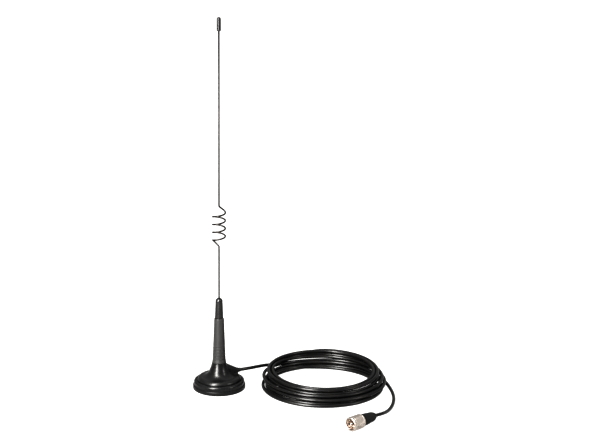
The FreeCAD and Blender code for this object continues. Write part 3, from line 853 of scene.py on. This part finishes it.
PIN_R = 1.98
pin_silver = metal_finish("silvered_pin", (0.5, 0.47, 0.42), (0.86, 0.84, 0.8), 0.16, 0.2)
pin = on_plug("centre_pin", [(0.9, 1.2), (1.15, 1.0), (1.5, 1.1), ((1.84, 1.35), (PIN_R, 1.9)), (PIN_R, 26.0),
                             (0.9, 26.0)], pin_silver, around=48, edge=0.12)
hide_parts("plug_pin")

phenolic = moulded_finish("brown_phenolic", (0.1, 0.022, 0.01), (0.24, 0.065, 0.03), 0.28, 0.15, patch=500.0,
                          grain=1800.0)
bead = on_plug("pin_bead", [(PIN_R, 10.6), (2.5, 10.6), (2.8, 10.2), (4.7, 10.2), (5.2, 10.5), (5.2, 20.0),
                            (PIN_R, 20.0)], phenolic, around=72)
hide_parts("plug_insulator")

boot_outline = [(6.4, 20.9), (8.2, 20.9), ((8.0, 28.0), (7.0, 36.0)), ((6.5, 41.0), (5.6, 43.6)),
                ((4.6, 45.6), (3.3, 46.6)), (3.1, 48.0), (JACKET_FIT_R, 48.0), (JACKET_FIT_R, 38.0),
                (4.8, 38.0), (4.8, 25.6), (6.4, 25.6)]
boot = on_plug("plug_sleeve", boot_outline, soft_rubber, edge=0.3)
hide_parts("plug_boot")

coat(nickel_finish("plain_nickel", False), "plug_body", "crimp_ferrule")


# ------------------------------------------------------------------ lead
# Thin coaxial lead with a glossy black vinyl jacket, extruded over its braid. It leaves the base through
# the grommet, falls to the bundle, makes eight and a third loose turns and runs over the floor to the plug.
LEAD_D = 4.95
BUNDLE_X = 152.8
BUNDLE_Y = 3.0
JOIN_AZ = 139.0          # where the lead meets the bundle, and where each turn gives way to the next
LEAVE_AZ = 16.0          # where it leaves again
JOIN_Z = 12.0            # height at which it comes in
RISE_SHARE = 0.16        # share of the first turn over which it climbs to the top of the bundle
EASE_SHARE = 0.26        # share of a turn over which one turn eases into the next
POINTS_A_TURN = 48
TURN_GAP = 0.05
SETTLE_ROUNDS = 150
SETTLE_STEP = 0.6

OUT_ROUTE = [(31.71, 12.81, OUTLET_Z), (44.69, 18.06, OUTLET_Z), (59.0, 34.4, 18.6), (73.4, 51.6, 14.6)]
TAIL_ROUTE = [(244.0, 12.0, LEAD_D / 2), (247.6, -8.0, LEAD_D / 2), (249.4, -32.0, LEAD_D / 2),
              (248.8, -56.0, LEAD_D / 2), (244.6, -78.0, LEAD_D / 2), (237.6, -98.0, LEAD_D / 2),
              (228.8, -116.0, 4.6), (219.88, -132.15, 8.9), (210.02, -139.85, 9.8)]

# Turns from the antenna's end to the plug's end, as they lie from the top down: shift right, shift back,
# radius, height of the middle, rise towards the back, ovalness and the azimuth along which it is longest.
TURNS = np.array([
    (0.0, 8.0, 80.5, 20.4, 2.3, 0.5, 90),
    (0.5, 7.5, 75.5, 20.9, 1.7, 1.0, 90),
    (0.5, 3.5, 79.0, 15.0, 0.2, 1.0, 0),
    (-0.3, 4.0, 84.9, 13.8, 2.6, 2.3, 170),
    (2.8, -2.0, 84.3, 9.0, 1.3, 3.0, 5),
    (2.5, -3.0, 78.4, 8.4, 0.0, 2.5, 170),
    (-3.5, -8.5, 77.5, 3.2, -0.7, 3.0, 0),
    (-1.0, -10.0, 82.8, 3.4, 0.9, 3.2, 5),
    (5.0, -4.0, 85.0, 2.5, 0.0, 0.0, 0)])


def ease(share):
    """Smooth step of a share that is clipped to 0 to 1: three times its square less twice its cube."""
    share = np.clip(share, 0, 1)
    return share * share * (3 - 2 * share)


def wanted_turns():
    """Radius and height along the bundle by azimuth.

    A turn is a circle shifted sideways, stretched into an oval and tilted. Round the join each turn eases
    into the next over a quarter of a turn, and the first one rises from the height at which the lead comes in.
    """
    whole = 360 * (len(TURNS) - 1) + JOIN_AZ - LEAVE_AZ
    done = np.linspace(0, whole, round(whole / 360 * POINTS_A_TURN) + 1)
    azimuth = np.radians(JOIN_AZ - done)
    ahead = done / 360 + EASE_SHARE / 2
    later = np.clip(np.floor(ahead).astype(int), 0, len(TURNS) - 1)
    share = np.where(later == 0, 1.0, ease((ahead - later) / EASE_SHARE))

    def laid_turn(number):
        right, back, radius, height, rise, oval, along = TURNS[number].T
        r = (radius + right * np.cos(azimuth) + back * np.sin(azimuth)
             + oval * np.cos(2 * (azimuth - np.radians(along))))
        return np.stack([r, height + rise * np.sin(azimuth)], 1)

    section = laid_turn(np.maximum(later - 1, 0)) * (1 - share)[:, None] + laid_turn(later) * share[:, None]
    section[:, 1] = JOIN_Z + (section[:, 1] - JOIN_Z) * ease(done / 360 / RISE_SHARE)
    return azimuth, section


def settled(wanted):
    """Pushes turns apart that lie closer than one diameter, smooths the shifts, and keeps all on the floor."""
    section = wanted.copy()
    for _ in range(SETTLE_ROUNDS):
        push = np.zeros_like(section)
        for turn in range(1, len(TURNS)):
            ahead = turn * POINTS_A_TURN
            gap = section[ahead:] - section[:-ahead]
            distance = np.maximum(np.linalg.norm(gap, axis=1), 1e-6)
            half = gap * (np.maximum(LEAD_D + TURN_GAP - distance, 0) / 2 / distance)[:, None]
            push[ahead:] += half
            push[:-ahead] -= half
        moved = section + SETTLE_STEP * push - wanted
        moved[1:-1] = (moved[:-2] + 2 * moved[1:-1] + moved[2:]) / 4
        section = wanted + moved
        section[:, 1] = np.maximum(section[:, 1], LEAD_D / 2)
    return section


azimuth, section = wanted_turns()
section = settled(section)
bundle_route = np.stack([BUNDLE_X + section[:, 0] * np.cos(azimuth),
                         BUNDLE_Y + section[:, 0] * np.sin(azimuth), section[:, 1]], 1)
lead_route = np.concatenate([OUT_ROUTE, bundle_route, TAIL_ROUTE]) * 0.001


def jacket_finish():
    """Glossy black vinyl: faint grey bloom in patches, a soft ripple from the braid, fine handling marks."""
    finish = finish_of("vinyl_jacket", Specular_IOR_Level=0.4, Coat_Roughness=0.12)
    bloom = finish.between(finish.noise(55.0, 5.0, 0.6), 0.42, 0.75)
    finish.set("Base Color", finish.blend(bloom, (0.003, 0.003, 0.0032, 1), (0.009, 0.0085, 0.008, 1)))
    marks = finish.noise(900.0, 3.0)
    finish.set("Roughness", 0.26 + 0.1 * bloom + 0.05 * marks)
    finish.set("Coat Weight", 0.2 - 0.15 * bloom)
    ripple = finish.bump(finish.noise(160.0, 1.0), 0.00003)
    finish.set("Normal", finish.bump(marks, 0.000003, ripple))
    return finish.block


def cord_along(name, route, diameter, material):
    """Open NURBS cord with the route as its control points."""
    curve = bpy.data.curves.new(name, "CURVE")
    curve.dimensions = "3D"
    line = curve.splines.new("NURBS")
    line.points.add(len(route) - 1)
    line.points.foreach_set("co", np.column_stack([route, np.ones(len(route))]).ravel())
    line.order_u = 3
    line.use_endpoint_u = True
    line.resolution_u = 4
    curve.bevel_depth = diameter / 2
    curve.bevel_resolution = 5
    curve.use_fill_caps = True
    curve.materials.append(material)
    made = bpy.data.objects.new(name, curve)
    scene.collection.objects.link(made)
    return made


jacket = jacket_finish()
lead = cord_along("lead", lead_route, LEAD_D * 0.001, jacket)
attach(lead, "base")
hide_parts("lead_out", "lead_coil", "lead_tail")
coat(jacket, "lead_inner")
